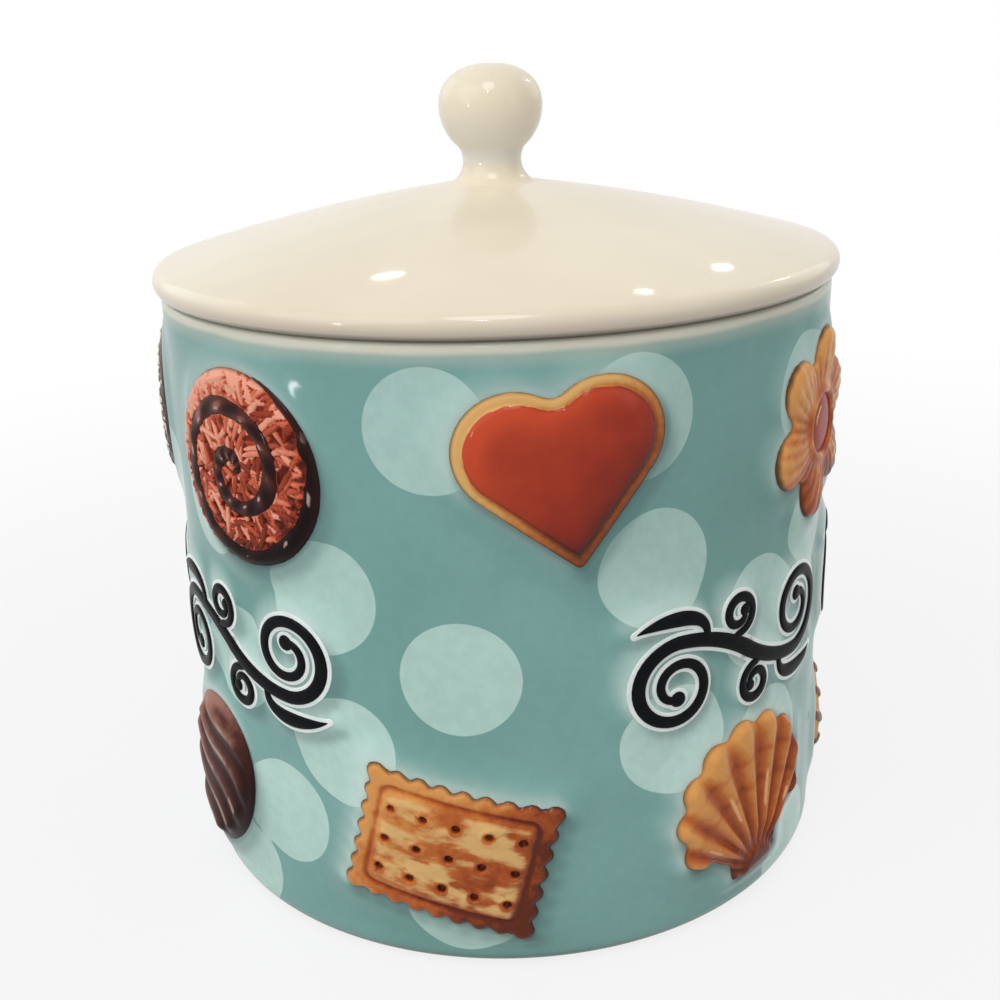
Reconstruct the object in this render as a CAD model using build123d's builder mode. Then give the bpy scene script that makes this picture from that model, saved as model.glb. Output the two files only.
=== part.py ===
from build123d import *
import os
from math import cos, radians, sin

# A straight-walled biscuit jar of glazed ceramic with a lift-off lid.
# Two rows of raised biscuits stand on the wall, with a band of scroll ornaments between them.
# Millimetres, +Z up. The origin is the centre of the foot ring, on the table.
# Angles round the wall start at the front, which faces -Y, and grow towards +X.

# Jar
jar_radius = 100.0
jar_height = 179.0
wall = 5.0
base_thickness = 6.5
base_round = 6.5
floor_round = 8.0
lip_round = 2.0
foot_ring_width = 9.0
foot_recess = 2.5

# Lid
lid_overhang = 2.0
lid_edge_height = 7.5
lid_rise = 26.2
lid_bulge = 1.5
lid_thickness = 5.2
seat_round = 3.5
flange_gap = 2.7
flange_thickness = 4.8
flange_depth = 14.0

# Seal ring in the flange's groove
groove_depth = 1.6
groove_height = 5.0
groove_drop = 5.0
seal_mouth_gap = 0.3
seal_fit_gap = 0.1
seal_lip_height = 1.2

# Knob
knob_foot_radius = 13.0
neck_radius = 8.7
neck_height = 6.0
ball_radius = 15.3
ball_height = 22.0
ball_start_angle = 50.0
knob_height = 34.4
spigot_radius = 5.0
spigot_length = 2.5
spigot_gap = 0.15

# Raised biscuits, seven to a row
row_count = 7
biscuit_width = 55.0
biscuit_relief = 5.0
biscuit_edge_round = 1.6
corner_round = 2.2
upper_row_margin = 9.5
upper_row_angle = 9.0
lower_row_margin = 4.0
lower_row_angle = -10.0

# Scroll ornaments between the rows, with a wider gap at the front
scroll_count = 6
scroll_relief = 1.8
scroll_stroke_share = 0.2
scroll_drop = 3.5
scroll_side_gap = 14.0
scroll_row_gap = 6.5
front_gap_angle = 36.0
front_gap_middle = -5.0

# The lid's seat lies on the rim, and the rest is built up from it
seat_height = jar_height
lid_radius = jar_radius + lid_overhang
inner_radius = jar_radius - wall
flange_radius = inner_radius - flange_gap
flange_inner = flange_radius - flange_thickness
flange_bottom = seat_height - flange_depth
groove_top = seat_height - groove_drop
groove_bottom = groove_top - groove_height
groove_radius = flange_radius - groove_depth
crown_height = seat_height + lid_rise

# The rows keep their margins from the lip and the foot, and the scrolls fill the band they leave
upper_row_height = jar_height - upper_row_margin - biscuit_width / 2
lower_row_height = base_round + lower_row_margin + biscuit_width / 2
scroll_height = (upper_row_height + lower_row_height) / 2 - scroll_drop
scroll_pitch = (360 - front_gap_angle) / scroll_count
scroll_first_angle = front_gap_middle + (front_gap_angle + scroll_pitch) / 2
half_width = jar_radius * sin(radians(scroll_pitch / 2)) - scroll_side_gap / 2
half_height = (upper_row_height - lower_row_height - biscuit_width) / 2 - scroll_row_gap
scroll_stroke = half_height * scroll_stroke_share


def wall_plane(angle, height, tilt=0.0):
    """A plane through the jar's axis that faces out at this angle, with its X along the wall."""
    turn = radians(angle)
    lean = radians(tilt)
    outward = (sin(turn), -cos(turn), 0)
    sideways = (cos(turn) * cos(lean), sin(turn) * cos(lean), sin(lean))
    return Plane(origin=(0, 0, height), x_dir=sideways, z_dir=outward)


def trim_to_relief(angle, relief):
    """Cuts what stands in the current part back to a skin of this thickness on the wall."""
    seam = (0, 0, angle + 90)
    upright = (Align.CENTER, Align.CENTER, Align.MIN)
    Cylinder(jar_radius + relief, jar_height, rotation=seam, align=upright, mode=Mode.INTERSECT)
    Cylinder(jar_radius, jar_height, rotation=seam, align=upright, mode=Mode.SUBTRACT)


def save(piece, name):
    piece.part.label = name
    export_step(piece.part, f"parts/{name}.step")


os.makedirs("parts", exist_ok=True)

# Jar body: a pot turned from a full cylinder
with BuildPart() as jar_body:
    with BuildSketch():
        Circle(jar_radius)
    extrude(amount=jar_height)
    with BuildSketch(Plane.XY.offset(base_thickness)):
        Circle(inner_radius)
    extrude(amount=jar_height - base_thickness, mode=Mode.SUBTRACT)
    with BuildSketch():
        Circle(jar_radius - base_round - foot_ring_width)
    extrude(amount=foot_recess, mode=Mode.SUBTRACT)
    rings = jar_body.edges().filter_by(GeomType.CIRCLE).group_by(Axis.Z)
    lip_rings = rings[-1]
    foot_edge = rings[0].sort_by(SortBy.RADIUS)[-1]
    floor_edge = rings[-2]
    fillet(floor_edge, radius=floor_round)
    fillet(foot_edge, radius=base_round)
    fillet(lip_rings, radius=lip_round)
save(jar_body, "jar_body")

# Lid: a shallow domed shell, a flat seat ring and a flange with a groove for the seal
with BuildPart() as lid:
    edge_top = seat_height + lid_edge_height
    edge_inset = lid_radius - seat_round
    mid_radius = (edge_inset + knob_foot_radius) / 2
    mid_height = (edge_top + crown_height) / 2 + lid_bulge
    under_edge = edge_top - lid_thickness + (edge_inset - flange_inner) * lid_rise / lid_radius / 2
    under_crown = crown_height - lid_thickness
    under_mid = (under_edge + under_crown) / 2 + lid_bulge
    with BuildSketch(Plane.XZ):
        with BuildLine():
            Polyline((0, crown_height), (knob_foot_radius, crown_height))
            Spline((knob_foot_radius, crown_height), (mid_radius, mid_height), (edge_inset, edge_top))
            ThreePointArc(
                (edge_inset, edge_top),
                (lid_radius, seat_height + lid_edge_height / 2),
                (edge_inset, seat_height),
            )
            Polyline(
                (edge_inset, seat_height),
                (flange_radius, seat_height),
                (flange_radius, groove_top),
                (groove_radius, groove_top),
                (groove_radius, groove_bottom),
                (flange_radius, groove_bottom),
                (flange_radius, flange_bottom),
                (flange_inner, flange_bottom),
                (flange_inner, under_edge),
            )
            Spline(
                (flange_inner, under_edge),
                (flange_inner / 2, under_mid),
                (0, under_crown),
                tangents=((-1, 0.25), (-1, 0)),
            )
            Line((0, under_crown), (0, crown_height))
        make_face()
    revolve(axis=Axis.Z)
    with BuildSketch(Plane.XY.offset(crown_height)):
        Circle(spigot_radius + spigot_gap)
    extrude(amount=-spigot_length - spigot_gap, mode=Mode.SUBTRACT)
    flange_rings = lid.edges().filter_by(GeomType.CIRCLE).group_by(Axis.Z)[0]
    fillet(flange_rings, radius=flange_thickness / 4)
save(lid, "lid")

# Seal: a soft ring that fills the groove, with two lips that wipe the mouth
with BuildPart() as lid_seal:
    lip_reach = inner_radius - seal_mouth_gap
    seal_face = flange_radius + groove_depth / 4
    with BuildSketch(Plane.XZ):
        with BuildLine():
            Polyline(
                (groove_radius + seal_fit_gap, groove_bottom),
                (seal_face, groove_bottom),
                (lip_reach, groove_bottom + seal_lip_height / 2),
                (lip_reach, groove_bottom + seal_lip_height),
                (seal_face, groove_bottom + 2 * seal_lip_height),
                (seal_face, groove_top - 2 * seal_lip_height),
                (lip_reach, groove_top - seal_lip_height),
                (lip_reach, groove_top - seal_lip_height / 2),
                (seal_face, groove_top),
                (groove_radius + seal_fit_gap, groove_top),
                close=True,
            )
        make_face()
    revolve(axis=Axis.Z)
save(lid_seal, "lid_seal")

# Knob: a ball on a flared neck, stuck to the flat land on the lid
with BuildPart() as lid_knob:
    ball_middle = crown_height + ball_height
    ball_top = crown_height + knob_height
    cap_points = []
    for turn in (0, 18, 36, 54, 72):
        cap_rise = (ball_top - ball_middle) * sin(radians(turn))
        cap_points.append((ball_radius * cos(radians(turn)), ball_middle + cap_rise))
    cap_points.append((0, ball_top))
    with BuildSketch(Plane.XZ):
        with BuildLine():
            Spline(*cap_points, tangents=((0, 1), (-1, 0)))
            lower_ball = CenterArc((0, ball_middle), ball_radius, 0, -ball_start_angle)
            neck = ThreePointArc(
                lower_ball @ 1,
                (neck_radius, crown_height + neck_height),
                (knob_foot_radius, crown_height),
            )
            Polyline(neck @ 1, (0, crown_height), (0, ball_top))
        make_face()
    revolve(axis=Axis.Z)
    with BuildSketch(Plane.XY.offset(crown_height)):
        Circle(spigot_radius)
    extrude(amount=-spigot_length)
save(lid_knob, "lid_knob")


# Outlines of the biscuits, drawn round the middle of the current sketch
def soften_corners():
    offset(amount=corner_round)
    offset(amount=-2 * corner_round)
    offset(amount=corner_round)


def round_outline():
    Circle(biscuit_width / 2)


def heart_outline():
    side = biscuit_width / (1 + 2**-0.5)
    lobe_middle = side / 8**0.5
    Rectangle(side, side, rotation=45)
    with Locations((-lobe_middle, lobe_middle), (lobe_middle, lobe_middle)):
        Circle(side / 2)
    soften_corners()


def flower_outline():
    petal_radius = biscuit_width / 6
    Circle(biscuit_width / 2 - petal_radius)
    with PolarLocations(biscuit_width / 2 - petal_radius, 6, start_angle=90):
        Circle(petal_radius)
    soften_corners()


def star_outline():
    tip_radius = biscuit_width / 1.8
    notch_radius = tip_radius * 0.56
    corners = []
    for k in range(5):
        corners.append(Vector(tip_radius, 0).rotate(Axis.Z, 90 + 72 * k))
        corners.append(Vector(notch_radius, 0).rotate(Axis.Z, 126 + 72 * k))
    with BuildLine() as star:
        Polyline(*corners, close=True)
    make_face(star.edges())
    soften_corners()


def square_outline():
    RectangleRounded(biscuit_width * 0.84, biscuit_width * 0.84, biscuit_width * 0.08)


def ring_outline():
    Circle(biscuit_width / 2)
    Circle(biscuit_width / 7, mode=Mode.SUBTRACT)


def oval_outline():
    Ellipse(biscuit_width * 0.54, biscuit_width * 0.41)


def finger_outline():
    SlotOverall(biscuit_width * 1.12, biscuit_width * 0.44)


def butter_outline():
    """A rectangle with a scalloped edge."""
    long_pitch = biscuit_width / 9
    across = 6 * long_pitch
    along = 8 * long_pitch
    Rectangle(along, across)
    with GridLocations(long_pitch, across, 9, 2):
        Circle(long_pitch / 2)
    with GridLocations(along, long_pitch, 2, 7):
        Circle(long_pitch / 2)
    soften_corners()


def shell_outline():
    """A fan with a scalloped edge and a short hinge at the bottom."""
    rib_radius = biscuit_width / 9
    fan_radius = biscuit_width / 2 - rib_radius
    Circle(fan_radius)
    with PolarLocations(fan_radius, 9, start_angle=-20, angular_range=220, endpoint=True):
        Circle(rib_radius)
    with Locations((0, -fan_radius)):
        RectangleRounded(biscuit_width * 0.4, biscuit_width * 0.14, biscuit_width * 0.04)
    soften_corners()


upper_row = (
    ("heart_biscuit", heart_outline, 8),
    ("flower_biscuit", flower_outline, -10),
    ("chip_biscuit", round_outline, 0),
    ("star_biscuit", star_outline, 12),
    ("checker_biscuit", square_outline, 18),
    ("sugar_ring", ring_outline, 0),
    ("pinwheel_biscuit", round_outline, 0),
)
lower_row = (
    ("butter_biscuit", butter_outline, -14),
    ("shell_biscuit", shell_outline, 10),
    ("finger_biscuit", finger_outline, 35),
    ("jam_biscuit", round_outline, 0),
    ("waffle_biscuit", square_outline, 45),
    ("dipped_biscuit", round_outline, 0),
    ("cocoa_biscuit", oval_outline, 55),
)
rows = (
    (upper_row, upper_row_angle, upper_row_height),
    (lower_row, lower_row_angle, lower_row_height),
)

# Each biscuit is pushed out from the axis and cut back to its relief on the wall
for biscuits, first_angle, height in rows:
    for place, (name, outline, tilt) in enumerate(biscuits):
        angle = first_angle + place * 360 / row_count
        plane = wall_plane(angle, height, tilt)
        with BuildPart() as biscuit:
            with BuildSketch(plane):
                outline()
            extrude(amount=jar_radius + 2 * biscuit_relief)
            trim_to_relief(angle, biscuit_relief)
            front = biscuit.faces().sort_by(Axis((0, 0, 0), plane.z_dir))[-1]
            fillet(front.edges(), radius=biscuit_edge_round)
        save(biscuit, name)


def coil_points(middle, outer, eye, start, turns):
    """Points along a spiral from its outer end to its eye, eight to a turn."""
    steps = round(8 * turns)
    points = []
    for k in range(steps + 1):
        share = k / steps
        reach = outer + (eye - outer) * share
        turn = radians(start + 360 * turns * share)
        points.append((middle[0] + reach * cos(turn), middle[1] + reach * sin(turn)))
    return points


def place_on(side, across, up):
    """A point of a scroll, from its shares of the scroll's half width and half height."""
    return (side * across * half_width, side * up * half_height)


def stroke(side, root, coil, width):
    """A line from its root into a coil, with a round end in the coil's eye."""
    with BuildLine() as line:
        path = Spline(place_on(side, *root), *[(side * x, side * y) for x, y in coil])
    trace(line.edges(), line_width=width)
    with Locations(path @ 1):
        Circle(width * 0.75)


def half_scroll(side):
    """One half of a scroll: a large coil on the stem, a small curl beside it and a leaf."""
    coil_radius = min(half_height * 0.72, half_width * 0.36)
    curl_radius = coil_radius * 0.46
    coil = coil_points(place_on(1, 0.64, 0.25), coil_radius, coil_radius * 0.27, -90, 1.5)
    curl = coil_points(place_on(1, 0.1, -0.64), curl_radius, curl_radius * 0.4, 100, 1.25)
    stroke(side, (0, 0), coil, scroll_stroke)
    stroke(side, (0.2, -0.2), curl, scroll_stroke * 0.75)
    leaf_start = place_on(side, 0.38, -0.86)
    leaf_end = place_on(side, 0.96, -0.72)
    with BuildLine() as leaf:
        ThreePointArc(leaf_start, place_on(side, 0.68, -0.62), leaf_end)
        ThreePointArc(leaf_end, place_on(side, 0.68, -0.88), leaf_start)
    make_face(leaf.edges())


for place in range(scroll_count):
    angle = scroll_first_angle + place * scroll_pitch
    with BuildPart() as scroll:
        with BuildSketch(wall_plane(angle, scroll_height)):
            half_scroll(1)
            half_scroll(-1)
        extrude(amount=jar_radius + 2 * scroll_relief)
        trim_to_relief(angle, scroll_relief)
    save(scroll, f"scroll_{place + 1}")
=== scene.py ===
import math

import bpy
import numpy as np
from mathutils import Matrix, Vector


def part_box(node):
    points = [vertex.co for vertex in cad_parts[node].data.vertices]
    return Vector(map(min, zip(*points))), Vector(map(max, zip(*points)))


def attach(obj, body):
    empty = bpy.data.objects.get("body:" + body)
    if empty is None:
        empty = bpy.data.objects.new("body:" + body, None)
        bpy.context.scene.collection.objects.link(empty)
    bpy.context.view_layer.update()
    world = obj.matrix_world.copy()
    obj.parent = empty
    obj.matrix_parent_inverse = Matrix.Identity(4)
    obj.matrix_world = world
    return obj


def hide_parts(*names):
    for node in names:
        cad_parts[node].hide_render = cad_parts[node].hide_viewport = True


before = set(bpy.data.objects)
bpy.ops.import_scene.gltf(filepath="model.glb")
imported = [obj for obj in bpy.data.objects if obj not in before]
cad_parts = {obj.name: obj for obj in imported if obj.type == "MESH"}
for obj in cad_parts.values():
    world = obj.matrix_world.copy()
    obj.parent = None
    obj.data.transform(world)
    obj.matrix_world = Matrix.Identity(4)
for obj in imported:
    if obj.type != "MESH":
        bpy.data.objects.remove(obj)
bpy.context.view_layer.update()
mm = 0.001
print("frame loaded")


# Camera, a little above the lid and looking down at the jar

cameraView = {
    "lens": 48.26,
    "distance": 0.41,
    "height": 0.2497,
    "lookDown": 19.69,  # degrees, as roll and turn are
    "roll": -1.95,
    "turn": 0.16,
    "shiftY": 0.003,
}


def addObject(name, data):
    thing = bpy.data.objects.new(name, data)
    bpy.context.scene.collection.objects.link(thing)
    return thing


def rotation(degrees, axis):
    return Matrix.Rotation(math.radians(degrees), 4, axis)


def makeCamera():
    data = bpy.data.cameras.new("camera")
    data.lens = cameraView["lens"]
    data.shift_y = cameraView["shiftY"]
    data.clip_start = 0.01
    camera = addObject("camera", data)
    camera.location = (0, -cameraView["distance"], cameraView["height"])
    facing = rotation(cameraView["turn"], "Z") @ rotation(90 - cameraView["lookDown"], "X")
    camera.rotation_euler = (facing @ rotation(cameraView["roll"], "Z")).to_euler()
    bpy.context.scene.camera = camera


makeCamera()
print("camera placed")


# Small helpers for numbers, meshes and materials

def smoothStep(value, low, high):
    share = np.clip((value - low) / (high - low), 0, 1)
    return share * share * (3 - 2 * share)


def fade(value, low, high):
    return 1 - smoothStep(value, low, high)


def bell(value, reach):
    # 1 at zero, fading to both sides
    return np.exp(-((value / reach) ** 2))


def arch(value):
    # a round arch, 1 at zero and 0 from 1 on
    return np.sqrt(np.clip(1 - value**2, 0, 1))


def turned(x, y, angle):
    # the same place in a frame that is turned by this angle
    return x * math.cos(angle) + y * math.sin(angle), y * math.cos(angle) - x * math.sin(angle)


def polar(reach, angle, middle=(0, 0)):
    return middle[0] + reach * math.cos(angle), middle[1] + reach * math.sin(angle)


def softNoise(x, y, size, seed):
    # values from 0 to 1 that change smoothly over this size
    cells = 64
    grid = np.random.default_rng(seed).random((cells, cells))
    column, row = np.floor(x / size), np.floor(y / size)
    right, up = smoothStep(x / size - column, 0, 1), smoothStep(y / size - row, 0, 1)
    left, low = column.astype(int) % cells, row.astype(int) % cells
    nextLeft, nextLow = (left + 1) % cells, (low + 1) % cells
    bottom = grid[left, low] * (1 - right) + grid[nextLeft, low] * right
    top = grid[left, nextLow] * (1 - right) + grid[nextLeft, nextLow] * right
    return bottom * (1 - up) + top * up


def layeredNoise(x, y, size, seed, layers=3):
    # finer and finer noise, each layer turned and bent a little so that no grid shows
    total, weight = 0, 0
    for k in range(layers):
        step = size / 2**k
        sway = step * 0.8 * softNoise(y, x, step * 1.3, seed + 90 + k)
        across, up = turned(x, y, 0.5 + 0.7 * k)
        total = total + softNoise(across + sway, up - sway, step, seed + k) / 2**k
        weight += 1 / 2**k
    return total / weight


def makePiece(name, points, faces, materials, body, slot, replaced, marks=None, faceMaterial=None):
    # points in millimetres, marks are one number for each point that the materials read
    mesh = bpy.data.meshes.new(name)
    mesh.from_pydata((np.asarray(points) * mm).tolist(), [], [list(face) for face in faces])
    for material in materials:
        mesh.materials.append(material)
    if faceMaterial is not None:
        mesh.polygons.foreach_set("material_index", np.asarray(faceMaterial, dtype=np.int32))
    for mark, values in (marks or {}).items():
        layer = mesh.attributes.new(mark, "FLOAT", "POINT")
        layer.data.foreach_set("value", np.asarray(values, dtype=np.float32))
    mesh.shade_smooth()
    mesh.set_sharp_from_angle(angle=math.radians(50))
    mesh.update()
    piece = addObject(name, mesh)
    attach(piece, body)
    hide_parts(replaced)


def ringBand(first, second, count):
    # quads between two closed rings, each given by its first point
    return [(first + k, first + (k + 1) % count, second + (k + 1) % count, second + k) for k in range(count)]


def ringFan(ring, tip, count, back=False):
    # triangles from a closed ring to one point
    sides = [(ring + k, ring + (k + 1) % count) for k in range(count)]
    return [(b, a, tip) if back else (a, b, tip) for a, b in sides]


def turnProfile(profile, columns, closed=False):
    # sweeps (radius, height) points round the axis, a point on the axis becomes one vertex
    turns = np.arange(columns) * 2 * math.pi / columns
    points, starts, faces = [], [], []
    for radius, height in profile:
        onAxis = radius < 1e-6
        starts.append((len(points), onAxis))
        if onAxis:
            points.append((0, 0, height))
        else:
            points += [(radius * math.sin(t), -radius * math.cos(t), height) for t in turns]
    pairs = list(zip(starts[:-1], starts[1:]))
    if closed:
        pairs.append((starts[-1], starts[0]))
    for (first, firstOnAxis), (second, secondOnAxis) in pairs:
        if firstOnAxis:
            faces += ringFan(second, first, columns)
        elif secondOnAxis:
            faces += ringFan(first, second, columns, back=True)
        else:
            faces += ringBand(second, first, columns)
    return np.array(points), faces


def arcPoints(middle, radius, start, end, steps):
    # points of an arc in a profile, angles in degrees from the +radius direction
    return [polar(radius, math.radians(start + (end - start) * k / steps), middle) for k in range(steps + 1)]


def addLines(profile, *runs):
    # carries the profile on along straight runs, each given as (end, steps)
    for end, steps in runs:
        start = profile[-1]
        profile += [tuple(a + (b - a) * k / steps for a, b in zip(start, end)) for k in range(1, steps + 1)]


def tint(red, green, blue):
    # a colour as it looks on screen, 0 to 255
    shares = [c / 255 for c in (red, green, blue)]
    return tuple(c / 12.92 if c <= 0.04045 else ((c + 0.055) / 1.055) ** 2.4 for c in shares) + (1,)


def feed(tree, node, inputs):
    # each input is a plain value or the output of another node
    for socket, value in inputs.items():
        if isinstance(value, bpy.types.NodeSocket):
            tree.links.new(value, node.inputs[socket])
        else:
            node.inputs[socket].default_value = value


def addNode(tree, kind, inputs=None, **settings):
    node = tree.nodes.new(kind)
    for key, value in settings.items():
        setattr(node, key, value)
    feed(tree, node, inputs or {})
    return node


class Paint:
    # a material with short ways to add the nodes that this script needs

    def __init__(self, name, roughness, coat=0.0, coatRoughness=0.05, specular=0.5):
        self.material = bpy.data.materials.new(name)
        self.material.use_nodes = True
        self.tree = self.material.node_tree
        self.shader = self.tree.nodes["Principled BSDF"]
        self.shader.inputs["Roughness"].default_value = roughness
        self.shader.inputs["Coat Weight"].default_value = coat
        self.shader.inputs["Coat Roughness"].default_value = coatRoughness
        self.shader.inputs["Specular IOR Level"].default_value = specular
        self.place = self.add("ShaderNodeTexCoord").outputs["Object"]
        self.colour = None

    def add(self, kind, inputs=None, **settings):
        return addNode(self.tree, kind, inputs, **settings)

    def mark(self, name):
        return self.add("ShaderNodeAttribute", attribute_name=name).outputs["Fac"]

    def axes(self):
        return self.add("ShaderNodeSeparateXYZ", {0: self.place}).outputs

    def noise(self, size, detail=3.0, roughness=0.55, stretch=(1, 1, 1)):
        # size in millimetres of one lump
        place = self.add("ShaderNodeMapping", {"Vector": self.place, "Scale": stretch}).outputs["Vector"]
        inputs = {"Vector": place, "Scale": 1 / (size * mm), "Detail": detail, "Roughness": roughness}
        return self.add("ShaderNodeTexNoise", inputs).outputs["Fac"]

    def times(self, first, second):
        return self.add("ShaderNodeMath", {0: first, 1: second}, operation="MULTIPLY").outputs[0]

    def plus(self, first, second):
        return self.add("ShaderNodeMath", {0: first, 1: second}, operation="ADD").outputs[0]

    def swayed(self, value, noise, amount):
        # the value with noise added to both sides of it
        return self.plus(value, self.times(self.plus(noise, -0.5), amount))

    def span(self, value, low, high, start=0.0, end=1.0):
        # goes smoothly from start at low to end at high
        inputs = {"Value": value, "From Min": low, "From Max": high, "To Min": start, "To Max": end}
        return self.add("ShaderNodeMapRange", inputs, interpolation_type="SMOOTHSTEP").outputs["Result"]

    def ramp(self, value, stops):
        node = self.add("ShaderNodeValToRGB", {"Fac": value})
        elements = node.color_ramp.elements
        while len(elements) < len(stops):
            elements.new(0.5)
        for element, (position, colour) in zip(elements, stops):
            element.position = position
            element.color = tint(*colour)
        return node.outputs["Color"]

    def mix(self, share, first, second):
        return self.add("ShaderNodeMix", {0: share, 6: first, 7: second}, data_type="RGBA").outputs[2]

    def cover(self, share, colour):
        # lays a colour over this share of what is there
        self.colour = self.mix(share, self.colour, tint(*colour))

    def bump(self, height, distance, strength):
        inputs = {"Height": height, "Distance": distance * mm, "Strength": strength}
        feed(self.tree, self.shader, {"Normal": self.add("ShaderNodeBump", inputs).outputs["Normal"]})

    def finish(self):
        feed(self.tree, self.shader, {"Base Color": self.colour})
        return self.material


# Outlines as distances to their edge in millimetres, below zero inside

biscuitWidth = 55.0


def disc(u, v, radius, x=0.0, y=0.0):
    return np.hypot(u - x, v - y) - radius


def block(u, v, halfWide, halfHigh, corner=0.0, x=0.0, y=0.0):
    right, up = np.abs(u - x) - halfWide + corner, np.abs(v - y) - halfHigh + corner
    outside = np.hypot(np.maximum(right, 0), np.maximum(up, 0))
    return outside + np.minimum(np.maximum(right, up), 0) - corner


def segment(u, v, start, end):
    along = np.array(end, float) - np.array(start, float)
    share = ((u - start[0]) * along[0] + (v - start[1]) * along[1]) / (along @ along)
    share = np.clip(share, 0, 1)
    return np.hypot(u - start[0] - share * along[0], v - start[1] - share * along[1])


def join(first, second, soft):
    # both outlines together, with a soft inner corner
    near = np.maximum(soft - np.abs(first - second), 0) / soft
    return np.minimum(first, second) - near * near * soft / 4


def joinDiscs(u, v, shape, radius, places, soft):
    for x, y in places:
        shape = join(shape, disc(u, v, radius, x, y), soft)
    return shape


def roundOutline(u, v):
    return disc(u, v, biscuitWidth / 2)


def heartOutline(u, v):
    side = biscuitWidth / (1 + 2**-0.5)
    lobe = side / 8**0.5
    square = block((u + v) / 2**0.5, (v - u) / 2**0.5, side / 2, side / 2, 2.2)
    lobes = join(disc(u, v, side / 2, -lobe, lobe), disc(u, v, side / 2, lobe, lobe), 4.0)
    return np.minimum(square, lobes)


def flowerOutline(u, v):
    petal = biscuitWidth / 6
    reach = biscuitWidth / 2 - petal
    petals = [polar(reach, math.radians(90 + 60 * k)) for k in range(6)]
    return joinDiscs(u, v, disc(u, v, reach), petal, petals, 2.5)


def starOutline(u, v):
    tip, inner, rounding = biscuitWidth / 1.8, 0.56, 1.0
    corners = [polar(tip * inner if k % 2 else tip, math.radians(90 + 36 * k)) for k in range(10)]
    edge, inside = np.full(np.shape(u), 1e9), np.zeros(np.shape(u), bool)
    for (x0, y0), (x1, y1) in zip(corners, corners[1:] + corners[:1]):
        edge = np.minimum(edge, segment(u, v, (x0, y0), (x1, y1)))
        crosses = (y0 > v) != (y1 > v)
        inside ^= crosses & (u < (x1 - x0) * (v - y0) / (y1 - y0) + x0)
    return np.where(inside, -edge, edge) - rounding + rounding * smoothStep(np.hypot(u, v), tip * 0.7, tip)


def squareOutline(u, v):
    return block(u, v, biscuitWidth * 0.42, biscuitWidth * 0.42, biscuitWidth * 0.08)


def ringOutline(u, v):
    return np.maximum(disc(u, v, biscuitWidth / 2), -disc(u, v, biscuitWidth / 7))


def ovalOutline(u, v):
    wide, high = biscuitWidth * 0.54, biscuitWidth * 0.41
    reach = np.hypot(u / wide, v / high)
    slope = np.hypot(u / wide**2, v / high**2) + 1e-9
    return reach * (reach - 1) / slope


def fingerOutline(u, v):
    half = biscuitWidth * 0.34
    return segment(u, v, (-half, 0), (half, 0)) - biscuitWidth * 0.22


def butterOutline(u, v):
    pitch = biscuitWidth / 9
    teeth = [((k - 4) * pitch, side * pitch) for k in range(9) for side in (-3, 3)]
    teeth += [(side * pitch, (k - 3) * pitch) for k in range(7) for side in (-4, 4)]
    return joinDiscs(u, v, block(u, v, 4 * pitch, 3 * pitch), pitch / 2, teeth, 1.5)


def shellOutline(u, v):
    rib = biscuitWidth / 9
    fan = biscuitWidth / 2 - rib
    hinge = block(u, v, biscuitWidth * 0.2, biscuitWidth * 0.07, biscuitWidth * 0.04, 0, -fan)
    ribs = [polar(fan, math.radians(-20 + 220 * k / 8)) for k in range(9)]
    return joinDiscs(u, v, join(disc(u, v, fan), hinge, 2.0), rib, ribs, 2.5)


# Where everything sits on the wall

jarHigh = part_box("jar_body")[1] / mm
jarSize = {
    "radius": jarHigh.x,
    "height": jarHigh.z,
    "wall": 5.0,
    "baseThickness": 6.5,
    "baseRound": 6.5,
    "floorRound": 8.0,
    "lipRound": 2.0,
    "footRing": 9.0,
    "footRecess": 2.5,
}
upperRow = (  # name, outline and tilt in degrees
    ("heart_biscuit", heartOutline, 8),
    ("flower_biscuit", flowerOutline, -10),
    ("chip_biscuit", roundOutline, 0),
    ("star_biscuit", starOutline, 12),
    ("checker_biscuit", squareOutline, 18),
    ("sugar_ring", ringOutline, 0),
    ("pinwheel_biscuit", roundOutline, 0),
)
lowerRow = (
    ("butter_biscuit", butterOutline, -14),
    ("shell_biscuit", shellOutline, 10),
    ("finger_biscuit", fingerOutline, 35),
    ("jam_biscuit", roundOutline, 0),
    ("waffle_biscuit", squareOutline, 45),
    ("dipped_biscuit", roundOutline, 0),
    ("cocoa_biscuit", ovalOutline, 55),
)
biscuitRows = (  # biscuits, angle of the first one in degrees, and height
    (upperRow, 9.0, 142.0),
    (lowerRow, -10.0, 38.0),
)
biscuits = {}
for row, angle, height in biscuitRows:
    for place, (name, outline, tilt) in enumerate(row):
        around = angle + place * 360 / len(row)
        biscuits[name] = {"outline": outline, "angle": around, "height": height, "tilt": tilt}


def toWall(place, u, v, rise):
    # from a spot's own flat (u, v) and its rise above the wall to a point in space
    across, up = turned(u, v, -math.radians(place.get("tilt", 0)))
    out = np.sqrt(np.maximum((jarSize["radius"] + rise) ** 2 - across**2, 0))
    x, y = turned(across, out, math.radians(place["angle"]))
    return np.stack([x, -y, place["height"] + up], axis=-1)


def fromWall(place, angle, height):
    # the (u, v) of wall points in a spot's own flat frame, and whether they are on its side
    turn = angle - math.radians(place["angle"])
    across, up = jarSize["radius"] * np.sin(turn), height - place["height"]
    u, v = turned(across, up, math.radians(place.get("tilt", 0)))
    return u, v, np.cos(turn) > 0.5


# Scroll ornaments: strokes as (points, half widths), in one scroll's flat frame

scrollLook = {
    "count": 6,
    "gapAngle": 36.0,
    "gapMiddle": -5.0,
    "height": 86.5,
    "sideGap": 14.0,
    "halfHeight": 18.0,
    "stem": 2.5,  # half widths of the strokes
    "thin": 1.15,
    "ball": 2.3,
    "rise": 0.75,
    "outline": 1.0,
    "outlineRise": 0.28,
}


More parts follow.
